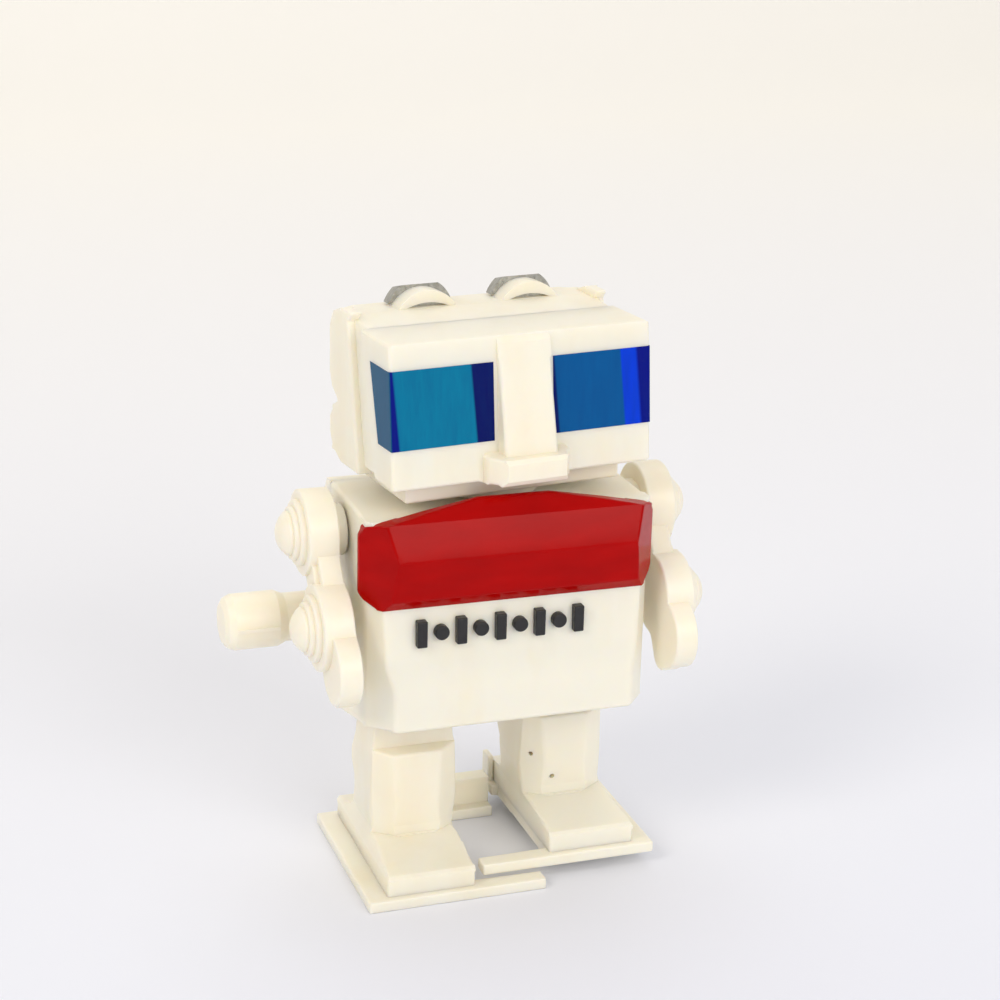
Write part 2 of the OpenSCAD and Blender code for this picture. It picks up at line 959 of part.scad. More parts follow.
module motor_plate_left() {
    motor_plate(1);
}

module motor_spacers() {
    color("gold")
        place()
            for (spot = spacer_spots)
                difference() {
                    bar_x(-plate_x0, plate_x0, 1.5, spot);
                    for (side = [-1, 1])
                        on_side(side)
                            bar_x(plate_x0 - 3, plate_x0 + 1, 0.8, spot);
                }
}

module motor_screws() {
    color("silver")
        place()
            for (side = [-1, 1])
                on_side(side)
                    for (spot = spacer_spots) {
                        bar_x(plate_x0 - 2.8, plate_x1 + eps, 0.8, spot);
                        bar_x(plate_x1, plate_x1 + 0.8, 1.5, spot);
                    }
}

// Fixed pins that each leg's guide hole circles around.
module guide_pins() {
    color("silver")
        place()
            for (side = [-1, 1])
                on_side(side) {
                    bar_x(plate_x1, tongue_x1 + 0.6, guide_pin_r, crank_at + [0, guide_rise]);
                    bar_x(plate_x1, plate_x1 + 0.6, 1.8, crank_at + [0, guide_rise]);
                }
}

// Involute gear outline with thinned teeth for backlash.
function involute(rb, t) = rb * [cos(t) + t * PI / 180 * sin(t), sin(t) - t * PI / 180 * cos(t)];
function roll_angle(rb, r) = r <= rb ? 0 : sqrt((r / rb)^2 - 1) * 180 / PI;
function turn(p, a) = [p[0] * cos(a) - p[1] * sin(a), p[0] * sin(a) + p[1] * cos(a)];

module gear_outline(teeth) {
    rp = gear_module * teeth / 2;
    rb = rp * cos(20);
    ra = rp + 0.8 * gear_module;
    rf = rp - 1.15 * gear_module;
    slack = 0.14;
    t_pitch = roll_angle(rb, rp);
    flank_pitch = atan2(involute(rb, t_pitch)[1], involute(rb, t_pitch)[0]);
    half = 90 / teeth - (slack / 2) / rp * 180 / PI + flank_pitch;
    steps = 3;
    r0 = max(rb, rf);
    flank = [for (i = [0:steps]) involute(rb, roll_angle(rb, r0 + (ra - r0) * i / steps))];
    right = concat([[rf, 0]], flank);
    points = [for (k = [0:teeth - 1]) each concat(
        [for (p = right) turn(p, k * 360 / teeth - half)],
        [for (i = [len(right) - 1:-1:0]) turn([right[i][0], -right[i][1]], k * 360 / teeth + half)])];
    polygon(points);
}

// A gear on an arbor: axis at, turned so that a tooth points along angle a.
module gear(teeth, at, a, x0, x1, bore) {
    along_x(x0, x1)
        translate(at)
            rotate(a)
                difference() {
                    gear_outline(teeth);
                    circle(r = bore);
                }
}

// Layers of the train along X.
great_x0 = -5;
great_x1 = -3.4;
second_x0 = 2;
second_x1 = 3.4;
crank_wheel_x0 = -8.6;
crank_wheel_x1 = -7.4;

module great_wheel() {
    color("gold")
        place()
            gear(great_teeth, key_at, bearing(key_at, second_at), great_x0, great_x1, key_arbor_r);
}

module second_pinion() {
    color("gold")
        place()
            gear(second_pinion_teeth, second_at, bearing(second_at, key_at) + 180 / second_pinion_teeth,
                great_x0 - 0.3, great_x1 + 0.3, arbor_r);
}

module second_wheel() {
    color("gold")
        place()
            gear(second_teeth, second_at, bearing(second_at, crank_at), second_x0, second_x1, arbor_r);
}

module crank_pinion() {
    color("gold")
        place()
            gear(crank_pinion_teeth, crank_at, bearing(crank_at, second_at) + 180 / crank_pinion_teeth,
                second_x0 - 0.3, second_x1 + 0.3, arbor_r);
}

module crank_wheel() {
    color("gold")
        place()
            gear(crank_teeth, crank_at, bearing(crank_at, escape_at), crank_wheel_x0, crank_wheel_x1, arbor_r);
}

module escape_pinion() {
    color("gold")
        place()
            gear(escape_pinion_teeth, escape_at, bearing(escape_at, crank_at) + 180 / escape_pinion_teeth,
                crank_wheel_x0 - 0.3, crank_wheel_x1 + 0.3, thin_r);
}

module second_arbor() {
    color("silver")
        place()
            bar_x(-plate_x1 - 0.3, plate_x1 + 0.3, arbor_r, second_at);
}

module escape_arbor() {
    color("silver")
        place()
            bar_x(-plate_x1 - 0.3, plate_x1 + 0.3, thin_r, escape_at);
}

module star_wheel() {
    tip_r = 2.8;
    root_r = 1.9;
    color("gold")
        place()
            along_x(7, 8.2)
                translate(escape_at)
                    difference() {
                        polygon([for (k = [0:star_teeth - 1]) each [
                            turn([root_r, 0], k * 360 / star_teeth),
                            turn([tip_r, 0], (k + 0.35) * 360 / star_teeth),
                            turn([tip_r, 0], (k + 0.45) * 360 / star_teeth)]]);
                        circle(r = thin_r);
                    }
}

// Rocking pallet: two arms that hang either side of the star wheel's tips.
module pallet() {
    color("gold")
        place()
            along_x(7, 8.2)
                translate(pallet_at)
                    rotate(pallet_lean - 90)
                        difference() {
                            union() {
                                circle(r = 1.5);
                                translate([-3.3, -0.7])
                                    square([6.6, 1.4]);
                                translate([-3.3, -2.4])
                                    square([0.8, 2.4]);
                                translate([2.5, -2.4])
                                    square([0.8, 2.4]);
                            }
                            circle(r = thin_r + run_gap);
                        }
}

// Stub that is riveted in the left motor plate.
module pallet_arbor() {
    color("silver")
        place()
            union() {
                bar_x(6.2, plate_x1 + 0.3, thin_r, pallet_at);
                bar_x(6.2, 6.7, 1.1, pallet_at);
            }
}

module key_arbor() {
    color("silver")
        place()
            bar_x(-38, plate_x1 + 0.5, key_arbor_r, key_at);
}

module key_bush() {
    color("ivory")
        place()
            difference() {
                union() {
                    bar_x(-torso_half_w - 0.6, -torso_half_w + wall, 2.6, key_at);
                    bar_x(-torso_half_w - 0.6, -torso_half_w, 3.4, key_at);
                }
                bar_x(-30, -20, key_arbor_r + run_gap, key_at);
            }
}

// Round knob with a collar and two moulded parting ribs.
module winding_knob() {
    knob_r = knob_d / 2;
    color("ivory")
        place()
            difference() {
                union() {
                    translate([0, key_at[0], key_at[1]])
                        rotate([0, -90, 0])
                            rotate_extrude()
                                polygon([[0, 25.1], [3.6, 25.1], [4, 25.6], [4, 33], [knob_r, 34.4], [knob_r, 41.6],
                                    [knob_r - 0.5, 42.7], [knob_r - 1.4, 43.3], [0, knob_end]]);
                    for (a = [0, 180])
                        translate([0, key_at[0], key_at[1]])
                            rotate([a, 0, 0])
                                translate([-41.5, knob_r - 0.4, -0.3])
                                    cube([7, 0.6, 0.6]);
                }
                bar_x(-38, -20, key_arbor_r, key_at);
            }
}

// Flat spiral strip wound on the key arbor.
module mainspring() {
    turns = 4.5;
    strip = 0.35;
    steps = 20;
    color("dimgray")
        place()
            along_x(4.6, 9.4)
                translate(key_at) {
                    spiral = function(i, grow) let(a = i * 360 / steps, r = 1.5 + grow + i * 1.1 / steps)
                        [r * cos(a), r * sin(a)];
                    polygon(concat([for (i = [0:turns * steps]) spiral(i, 0)],
                        [for (i = [turns * steps:-1:0]) spiral(i, strip)]));
                }
}

module crank_arbor() {
    color("silver")
        place()
            bar_x(-13.2, 13.2, arbor_r, crank_at);
}

// Disc and pin that carry a leg; the two pins are opposite each other.
module crank_disc(side) {
    off = side < 0 ? right_off : left_off;
    color("silver")
        place()
            on_side(side)
                difference() {
                    union() {
                        bar_x(12, 13.6, 4, crank_at);
                        bar_x(13.6 - eps, tongue_x1 + 0.4, crank_pin_r, crank_at + off);
                    }
                    bar_x(11, 13.2, arbor_r, crank_at);
                }
}

module crank_disc_right() {
    crank_disc(-1);
}

module crank_disc_left() {
    crank_disc(1);
}

head_front_shell();
head_rear_shell();
window_right();
window_left();
hood_insert_right();
hood_insert_left();
head_screws();
neck_post();
neck_washer();
torso_front_shell();
torso_rear_shell();
chest_panel();
chest_marks();
base_plate();
shell_screws();
base_screws();
arm_right();
arm_left();
shoulder_pin_right();
shoulder_pin_left();
shoulder_clip_right();
shoulder_clip_left();
leg_right();
leg_left();
sole_right();
sole_left();
sole_screws_right();
sole_screws_left();
crank_bush_right();
crank_bush_left();
motor_plate_right();
motor_plate_left();
motor_spacers();
motor_screws();
guide_pins();
key_bush();
winding_knob();
key_arbor();
great_wheel();
mainspring();
second_arbor();
second_pinion();
second_wheel();
crank_arbor();
crank_pinion();
crank_wheel();
crank_disc_right();
crank_disc_left();
escape_arbor();
escape_pinion();
star_wheel();
pallet();
pallet_arbor();
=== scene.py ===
# Looks of the wind-up robot: rounded mouldings, procedural plastics and metals, soft studio light.
import json
import math

import bmesh
import bpy
from mathutils import Matrix, Vector
from mathutils.bvhtree import BVHTree
from mathutils.geometry import intersect_line_line_2d


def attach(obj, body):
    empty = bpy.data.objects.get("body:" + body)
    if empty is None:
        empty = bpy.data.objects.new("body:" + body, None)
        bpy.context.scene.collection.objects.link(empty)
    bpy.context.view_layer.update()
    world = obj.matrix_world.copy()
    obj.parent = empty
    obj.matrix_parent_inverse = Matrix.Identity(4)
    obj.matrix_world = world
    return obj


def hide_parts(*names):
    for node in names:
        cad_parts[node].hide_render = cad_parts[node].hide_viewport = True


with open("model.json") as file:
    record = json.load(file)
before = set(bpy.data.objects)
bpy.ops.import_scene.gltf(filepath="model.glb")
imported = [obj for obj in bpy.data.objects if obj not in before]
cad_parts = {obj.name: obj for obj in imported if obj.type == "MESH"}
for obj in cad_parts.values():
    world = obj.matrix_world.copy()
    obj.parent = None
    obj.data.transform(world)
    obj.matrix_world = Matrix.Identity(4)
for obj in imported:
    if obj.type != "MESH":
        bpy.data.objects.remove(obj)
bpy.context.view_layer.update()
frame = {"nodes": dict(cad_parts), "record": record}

SCENE = bpy.context.scene
NODES = frame["nodes"]
BODY_OF = {node: body for body, nodes in frame["record"]["behaviour"]["bodies"].items() for node in nodes}
SLOT_OF = {subpart["node"]: subpart["material_slot"] for subpart in frame["record"]["subparts"]}
PIVOT_OF = {joint["name"]: joint["pos_m"] for joint in frame["record"]["behaviour"]["joints"]}

# Where the neck's axis, in the robot's own middle plane, meets the floor. All lengths are in metres.
SHIFT = Vector((*PIVOT_OF["head_swivel"][:2], 0.0))
# Turn of the head to the robot's left at rest
HEAD_TURN = math.radians(7.2)


# ------------------------------------------------------------------ camera

CAMERA_AZIMUTH = math.radians(19.6)
CAMERA_ELEVATION = math.radians(18.56)
CAMERA_ROLL = math.radians(1.5)
CAMERA_AIM = Vector((0.002827, 0.0, 0.060962)) + SHIFT
CAMERA_DISTANCE = 0.3631
SENSOR_WIDTH = 36.0
FOCAL_LENGTH = 79.19


def make_camera():
    """Look at the robot's front from its right side and a little from above."""
    back = Vector((-math.sin(CAMERA_AZIMUTH) * math.cos(CAMERA_ELEVATION),
                   -math.cos(CAMERA_AZIMUTH) * math.cos(CAMERA_ELEVATION), math.sin(CAMERA_ELEVATION)))
    level = Vector((math.cos(CAMERA_AZIMUTH), -math.sin(CAMERA_AZIMUTH), 0.0))
    rise = back.cross(level)
    side = math.cos(CAMERA_ROLL) * level + math.sin(CAMERA_ROLL) * rise
    up = -math.sin(CAMERA_ROLL) * level + math.cos(CAMERA_ROLL) * rise
    data = bpy.data.cameras.new("camera")
    data.sensor_width = SENSOR_WIDTH
    data.lens = FOCAL_LENGTH
    data.clip_start = 0.01
    data.clip_end = 20.0
    camera = bpy.data.objects.new("camera", data)
    SCENE.collection.objects.link(camera)
    turn = Matrix((side, up, back)).transposed().to_4x4()
    camera.matrix_world = Matrix.Translation(CAMERA_AIM + CAMERA_DISTANCE * back) @ turn
    SCENE.camera = camera


make_camera()


# ------------------------------------------------------------------ materials

class Shader:
    """Short names for building one node-based material on a principled shader."""

    def __init__(self, name):
        self.material = bpy.data.materials.new(name)
        self.material.use_nodes = True
        self.tree = self.material.node_tree
        self.tree.nodes.clear()
        output = self.add("ShaderNodeOutputMaterial")
        self.shader = self.add("ShaderNodeBsdfPrincipled")
        self.link(self.shader.outputs[0], output.inputs["Surface"])
        self.coords = self.add("ShaderNodeTexCoord").outputs["Object"]

    def add(self, kind, **values):
        """A new node, with each value set on its property or, where there is none, on its socket."""
        node = self.tree.nodes.new(kind)
        for key, value in values.items():
            if hasattr(node, key):
                setattr(node, key, value)
            else:
                node.inputs[key.replace("_", " ")].default_value = value
        return node

    def link(self, source, target):
        self.tree.links.new(source, target)

    def join(self, value, socket):
        """Put a colour or a number straight on a socket, or link another node's output to it."""
        if isinstance(value, tuple):
            socket.default_value = (*value, 1.0)
        elif isinstance(value, float):
            socket.default_value = value
        else:
            self.link(value, socket)

    def set(self, **values):
        for key, value in values.items():
            self.shader.inputs[key.replace("_", " ")].default_value = value

    def base(self, colour):
        self.join(colour, self.shader.inputs["Base Color"])

    def rough(self, value):
        self.join(value, self.shader.inputs["Roughness"])

    def bump(self, height, strength, distance):
        node = self.add("ShaderNodeBump", Strength=strength, Distance=distance)
        self.link(height, node.inputs["Height"])
        self.link(node.outputs["Normal"], self.shader.inputs["Normal"])

    def scaled(self, x, y, z, vector=None):
        """Coordinates scaled along each axis, which stretches a noise along the smaller ones."""
        node = self.add("ShaderNodeMapping")
        node.inputs["Scale"].default_value = (x, y, z)
        self.link(vector or self.coords, node.inputs["Vector"])
        return node.outputs["Vector"]

    def noise(self, scale, detail=3.0, rough=0.55, vector=None):
        node = self.add("ShaderNodeTexNoise", Scale=scale, Detail=detail, Roughness=rough)
        self.link(vector or self.coords, node.inputs["Vector"])
        return node.outputs["Fac"]

    def ramp(self, fac, stops):
        """Colours that run into each other at the places given."""
        node = self.add("ShaderNodeValToRGB")
        elements = node.color_ramp.elements
        while len(elements) < len(stops):
            elements.new(0.5)
        for element, (place, colour) in zip(elements, stops):
            element.position = place
            element.color = (*colour, 1.0)
        self.link(fac, node.inputs["Fac"])
        return node.outputs["Color"]

    def span(self, fac, low, high, start=0.3, end=0.7):
        """Map start to end of a value onto low to high."""
        node = self.add("ShaderNodeMapRange")
        for key, value in (("From Min", start), ("From Max", end), ("To Min", low), ("To Max", high)):
            node.inputs[key].default_value = value
        self.link(fac, node.inputs["Value"])
        return node.outputs["Result"]

    def mix(self, fac, first, second):
        node = self.add("ShaderNodeMix", data_type="RGBA")
        self.join(fac, node.inputs["Factor"])
        self.join(first, node.inputs[6])
        self.join(second, node.inputs[7])
        return node.outputs[2]


def ivory():
    """Warm translucent moulding: faint flow marks and a slightly uneven gloss."""
    pale = (0.925, 0.876, 0.745)
    deep = (0.9, 0.825, 0.66)
    m = Shader("ivory_body")
    flow = m.noise(60.0, 4.0, 0.6, m.scaled(1.0, 1.0, 0.35))
    cloud = m.noise(160.0, 2.0)
    tint = m.ramp(flow, [(0.3, deep), (0.52, pale), (1.0, pale)])
    m.base(m.mix(m.span(cloud, 0.0, 0.12, 0.45, 0.8), tint, deep))
    m.rough(m.span(m.noise(500.0, 3.0, 0.6), 0.3, 0.4))
    m.set(Specular_IOR_Level=0.45, Subsurface_Weight=0.5, Subsurface_Scale=0.003, IOR=1.5)
    m.shader.inputs["Subsurface Radius"].default_value = (1.0, 0.8, 0.5)
    m.bump(m.noise(420.0, 2.0), 0.05, 0.00008)
    return m.material


def red_panel():
    """Deep glossy red with faint streaks across the panel."""
    m = Shader("red_gloss")
    streak = m.noise(120.0, 3.0, 0.5, m.scaled(1.0, 1.0, 3.0))
    m.base(m.ramp(streak, [
        (0.25, (0.35, 0.0005, 0.0004)), (0.6, (0.41, 0.0008, 0.0006)), (0.9, (0.46, 0.0016, 0.0014))]))
    m.rough(m.span(m.noise(1400.0, 4.0), 0.07, 0.16))
    m.set(Specular_IOR_Level=0.09, IOR=1.5)
    m.bump(m.noise(420.0, 2.0), 0.05, 0.0001)
    return m.material


def black_marks():
    """Hot-stamped black foil with a fine grain."""
    m = Shader("black_print")
    m.base(m.ramp(m.noise(700.0, 4.0), [(0.3, (0.006, 0.006, 0.007)), (0.8, (0.016, 0.015, 0.015))]))
    m.rough(m.span(m.noise(1500.0, 3.0), 0.28, 0.5))
    m.bump(m.noise(1800.0, 2.0), 0.1, 0.00005)
    return m.material


def metal(name, low, high, rough, stretch):
    """Metal with a grain that runs along the axes where stretch is small."""
    m = Shader(name)
    grain = m.noise(900.0, 4.0, 0.6, m.scaled(*stretch))
    m.base(m.ramp(grain, [(0.3, low), (0.7, high)]))
    m.rough(m.span(grain, *rough))
    m.set(Metallic=1.0)
    m.bump(grain, 0.12, 0.00004)
    return m.material


# Colours of the window panes; the navy and deep blue bands at a pane's ends are painted shade of a tray's
# dark walls
TEAL = (0.0, 0.19, 0.35)
LAKE = (0.0, 0.095, 0.31)
COBALT = (0.0, 0.045, 0.7)
NAVY_WALL_SHADE = (0.0, 0.004, 0.11)
DEEP_BLUE_WALL_SHADE = (0.0, 0.002, 0.22)
END_PANE = (0.006, 0.09, 0.19)
BRUSHED = (0.0, 0.03, 0.16)
# A pane's reach from the head's middle plane, from the nose bar to the head's corner
PANE_START = 0.0052
PANE_END = 0.0229
# Where a pane turns round the corner, out of its front and into its end
CORNER_START = 0.0226
CORNER_END = 0.02276
# Lean of the bands in a pane, and how far it carries them sideways at the pane's own height
BAND_LEAN = 0.07
BAND_SHIFT = 0.0057


def head_coords(m):
    """Coordinates in the turned head's own frame: x across the face, z up."""
    node = m.add("ShaderNodeMapping", vector_type="TEXTURE")
    node.inputs["Location"].default_value = SHIFT
    node.inputs["Rotation"].default_value = (0.0, 0.0, HEAD_TURN)
    m.link(m.coords, node.inputs["Vector"])
    split = m.add("ShaderNodeSeparateXYZ")
    m.link(node.outputs["Vector"], split.inputs["Vector"])
    return node.outputs["Vector"], split.outputs


def window(name, side, stops):
    """Tinted pane with the look of a shallow tray painted in: a bright middle between bands of painted
    shade for the dark walls of the tray.
    """
    m = Shader(name)
    place, axes = head_coords(m)
    lean = m.add("ShaderNodeMath", operation="MULTIPLY_ADD")
    m.link(axes["Z"], lean.inputs[0])
    lean.inputs[1].default_value = BAND_LEAN
    m.link(axes["X"], lean.inputs[2])
    front = sorted((side * PANE_START + BAND_SHIFT, side * PANE_END + BAND_SHIFT))
    across = m.span(lean.outputs[0], 0.0, 1.0, *front)
    brushed = m.noise(900.0, 4.0, 0.6, m.scaled(1.0, 1.0, 0.12, place))
    # The ramp's dark bands at both ends are painted shade of the tray's walls
    bands = m.ramp(across, stops)
    if side < 0:
        end = m.span(axes["X"], 1.0, 0.0, -CORNER_END, -CORNER_START)
    else:
        end = m.span(axes["X"], 0.0, 1.0, CORNER_START, CORNER_END)
    bands = m.mix(end, bands, END_PANE)
    m.base(m.mix(m.span(brushed, 0.0, 0.22), bands, BRUSHED))
    m.rough(m.span(m.noise(1300.0, 3.0), 0.08, 0.2))
    m.set(Specular_IOR_Level=0.1, IOR=1.5)
    m.bump(brushed, 0.05, 0.00006)
    return m.material


MATERIALS = {
    "ivory": ivory(),
    "red": red_panel(),
    "black": black_marks(),
    "plated": metal("plated_rim", (0.3, 0.3, 0.28), (0.52, 0.52, 0.5), (0.26, 0.42), (1.0, 6.0, 1.0)),
    "steel": metal("bright_steel", (0.42, 0.41, 0.39), (0.62, 0.61, 0.59), (0.22, 0.4), (1.0, 8.0, 1.0)),
    "brass": metal("stamped_brass", (0.6, 0.42, 0.16), (0.78, 0.58, 0.26), (0.24, 0.42), (1.0, 1.0, 8.0)),
}
WINDOWS = {
    # At the ends of each pane, navy and deep blue are painted shade of the tray's walls
    "window_right": window("window_right_tint", -1, [
        (0.0, DEEP_BLUE_WALL_SHADE), (0.055, DEEP_BLUE_WALL_SHADE), (0.075, TEAL), (0.8, TEAL), (0.82, NAVY_WALL_SHADE), (1.0, NAVY_WALL_SHADE)]),
    "window_left": window("window_left_tint", 1, [
        (0.0, NAVY_WALL_SHADE), (0.03, NAVY_WALL_SHADE), (0.05, LAKE), (0.1, LAKE), (0.7, LAKE), (0.72, COBALT), (0.86, COBALT),
        (0.89, DEEP_BLUE_WALL_SHADE), (1.0, DEEP_BLUE_WALL_SHADE)]),
}


def material_of(node):
    return WINDOWS.get(node) or MATERIALS[SLOT_OF[node]]


# ------------------------------------------------------------------ rounded mouldings

# Radius of the rounding on each moulding's outer edges
RADIUS_OF = {
    "head_front_shell": 0.0006, "head_rear_shell": 0.0006, "neck_post": 0.0005,
    "torso_front_shell": 0.0007, "torso_rear_shell": 0.0006, "chest_panel": 0.00032,
    "arm_right": 0.00036, "arm_left": 0.00036, "leg_right": 0.0005, "leg_left": 0.0005,
    "sole_right": 0.0003, "sole_left": 0.0003, "winding_knob": 0.0004,
    "chest_marks": 0.0002, "window_right": 0.0002, "window_left": 0.0002,
    "hood_insert_right": 0.00015, "hood_insert_left": 0.00015,
}
# Mouldings with edges so close together that a rounding shrinks to what fits between them
CLAMPED = {"winding_knob", "hood_insert_right", "hood_insert_left", "chest_marks"}
# Steps in a rounding
SEGMENTS = 3
# Tries at a rounding that folds no face, each one staying further away from the folds before it
ATTEMPTS = 9

# Edges that turn more than this are rounded.
SHARP = math.radians(24.0)
# A side edge closer than this to an edge makes a narrow wedge with it.
NARROW = math.radians(25.0)
# The other angles are cosines, to compare with dot products of unit vectors.
# CAD normals that differ less than this run on smoothly over their edge.
SMOOTH = math.cos(math.radians(5.0))
# An edge that turns less than this from another runs straight on from it.
STRAIGHT = math.cos(math.radians(22.0))
# A shading normal that leans less than this from its face is kept.
FAITHFUL = math.cos(math.radians(32.0))

# Places are compared in steps of a tenth of a micrometre.
STEPS_PER_METRE = 1e7
# Corners closer than this are welded.
WELD = 0.00003
# Faces that turn less than this are one flat face.
FLAT = math.radians(0.6)
# An edge closer than this to another node lies against it.
TOUCHING = 0.00006
# A corner further than this outside the CAD surface is put back on it.
PROUD = 0.00001
# Lines that cross closer than this to one of their ends only meet there.
MEETING = 0.000002

# The room that a rounding needs, in radii of it.
# Length of a side edge that it runs over: one that stays sharp, and one that is rounded as well
ONE_END = 1.3
BOTH_ENDS = 2.3
# Shortest edge that is rounded as part of a curve
SHORT = 0.7
# Shortest rounding that is left between two stops
REMNANT = 1.9
# Width of each face beside a rounded edge
FACE_WIDTH = 2.2
# Width of a narrow wedge where a rounding that runs into it stops
WEDGE_WIDTH = 1.6
# Distance along an edge from a fold to the stop in front of it
PAST_FOLD = 2.5
# Distance from an edge within which a fold counts, at the first attempt
BESIDE_FOLD = 3.0


def place_key(place):
    """A place in whole steps, so that split corners of a mesh meet again."""
    return tuple(round(v * STEPS_PER_METRE) for v in place)


def creases(mesh):
    """Edges, as pairs of places, where the CAD surface has a corner instead of running on smoothly."""
    sides = {}
    for polygon in mesh.polygons:
        loops = list(polygon.loop_indices)
        for i, loop in enumerate(loops):
            ends = {}
            for k in (loop, loops[(i + 1) % len(loops)]):
                vertex = mesh.vertices[mesh.loops[k].vertex_index]
                ends[place_key(vertex.co)] = mesh.corner_normals[k].vector.copy()
            sides.setdefault(frozenset(ends), []).append(ends)
    found = set()
    for key, pair in sides.items():
        if len(pair) == 2 and any(pair[0][end].dot(pair[1][end]) < SMOOTH for end in key):
            found.add(key)
    return found


def solid_tree(piece):
    mesh = piece.data
    return BVHTree.FromPolygons([piece.matrix_world @ v.co for v in mesh.vertices],
                                [tuple(p.vertices) for p in mesh.polygons])


TREES = {name: solid_tree(piece) for name, piece in NODES.items()}


def outer_edges(bm, node):
    """Convex edges of a node that don't lie against another node of the same body."""
    mates = [TREES[k] for k in NODES if k != node and BODY_OF[k] == BODY_OF[node]]

    def meets_mate(edge):
        middle = (edge.verts[0].co + edge.verts[1].co) / 2
        return any(tree.find_nearest(middle, TOUCHING)[0] is not None for tree in mates)

    return {e for e in bm.edges if len(e.link_faces) == 2 and e.is_convex
            and e.calc_face_angle(0.0) > SHARP and not meets_mate(e)}


def carries_on(vert, edge, sharp):
    """The sharp edge that runs straight on from an edge at one of its ends."""
    along = (vert.co - edge.other_vert(vert).co).normalized()
    for other in vert.link_edges:
        if other is not edge and other in sharp:
            if along.dot((other.other_vert(vert).co - vert.co).normalized()) > STRAIGHT:
                return other
    return None


def stops_before(vert, edge, sharp, radius):
    """How far from one end a rounding of this radius has to stop; 0 where it can run to the end."""
    onward = carries_on(vert, edge, sharp)
    along = edge.other_vert(vert).co - vert.co
    stop = 0.0
    for other in vert.link_edges:
        if other is edge or other is onward:
            continue
        if other.calc_length() < (BOTH_ENDS if other in sharp else ONE_END) * radius:
            stop = max(stop, ONE_END * radius)
        wedge = along.angle(other.other_vert(vert).co - vert.co)
        if wedge < NARROW and set(other.link_faces) & set(edge.link_faces):
            stop = max(stop, WEDGE_WIDTH * radius / math.tan(max(wedge, 0.001)))
    return stop


def wide_enough(edge, radius):
    """Whether both faces beside an edge reach far enough from it to take the rounding."""
    a, b = edge.verts
    along = (b.co - a.co).normalized()
    for face in edge.link_faces:
        reach = max(((v.co - a.co) - along * (v.co - a.co).dot(along)).length for v in face.verts)
        if reach < FACE_WIDTH * radius:
            return False
    return True


def cut_short(edge, vert, stop):
    """Split an edge near one of its ends; returns the part that is away from that end."""
    far = edge.other_vert(vert)
    middle = bmesh.utils.edge_split(edge, vert, stop / edge.calc_length())[1]
    return next(e for e in middle.link_edges if far in e.verts)


def keep_clear(edge, stops, folds, near, radius):
    """Lengthen the stops at an edge's ends so that its rounding stays away from folds found near it."""
    a, b = edge.verts
    length = edge.calc_length()
    along = (b.co - a.co) / length
    for fold in folds:
        reach = (fold - a.co).dot(along)
        aside = (fold - a.co - along * reach).length
        if aside < near and -near < reach < length + near:
            if reach < length / 2:
                stops[0] = max(stops[0], reach + PAST_FOLD * radius)
            else:
                stops[1] = max(stops[1], length - reach + PAST_FOLD * radius)


def edges_to_round(bm, node, radius, folds, near):
    """The outer edges that have room for the rounding, cut short where only a part of one has."""
    sharp = outer_edges(bm, node)
    chosen, crowded = [], []
    for edge in sorted(sharp, key=lambda e: e.index):
        a, b = edge.verts
        length = edge.calc_length()
        in_curve = carries_on(a, edge, sharp) and carries_on(b, edge, sharp)
        if length < SHORT * radius or (length < BOTH_ENDS * radius and not in_curve):
            continue
        if not wide_enough(edge, radius):
            continue
        stops = [stops_before(end, edge, sharp, radius) for end in (a, b)]
        keep_clear(edge, stops, folds, near, radius)
        if not any(stops):
            chosen.append(edge)
        elif length - sum(stops) > REMNANT * radius:
            crowded.append((edge, a, b, stops))
    for edge, a, b, stops in crowded:
        if stops[0]:
            edge = cut_short(edge, a, stops[0])
        if stops[1]:
            edge = cut_short(edge, b, stops[1])
        chosen.append(edge)
    return chosen


def crossings(bm):
    """Places where the outline of a face crosses itself."""
    found = []
    for face in bm.faces:
        verts = face.verts
        count = len(verts)
        turn = face.normal.to_track_quat("Z", "Y").inverted()
        flat = [(turn @ v.co).xy for v in verts]
        for i in range(count - 2):
            for j in range(i + 2, count - (i == 0)):
                ends = flat[i], flat[i + 1], flat[j], flat[(j + 1) % count]
                hit = intersect_line_line_2d(*ends)
                if hit and min((hit - end).length for end in ends) > MEETING:
                    share = (hit - ends[0]).length / (ends[1] - ends[0]).length
                    found.append(verts[i].co.lerp(verts[i + 1].co, share))
    return found


def round_edges(bm, node, radius):
    """Round the outer edges without folding a face; where every attempt folds one, they stay sharp."""
    folds = []
    for attempt in range(ATTEMPTS):
        trial = bm.copy()
        trial.edges.index_update()
        chosen = edges_to_round(trial, node, radius, folds, (BESIDE_FOLD + attempt) * radius)
        for edge in chosen:
            edge.smooth = True
        bmesh.ops.bevel(trial, geom=chosen, offset=radius, offset_type="OFFSET", segments=SEGMENTS,
                        profile=0.5, affect="EDGES", clamp_overlap=node in CLAMPED,
                        miter_outer="SHARP", miter_inner="SHARP", face_strength_mode="ALL")
        trial.normal_update()
        new_folds = crossings(trial)
        if not new_folds:
            bm.free()
            return trial
        folds += new_folds
        trial.free()
    return bm


def stay_inside(bm, surface):
    """Put corners that stand proud of the CAD surface back on it."""
    for vert in bm.verts:
        place, normal, _, gap = surface.find_nearest(vert.co)
        if gap > PROUD and (vert.co - place).dot(normal) > 0.0:
            vert.co = place


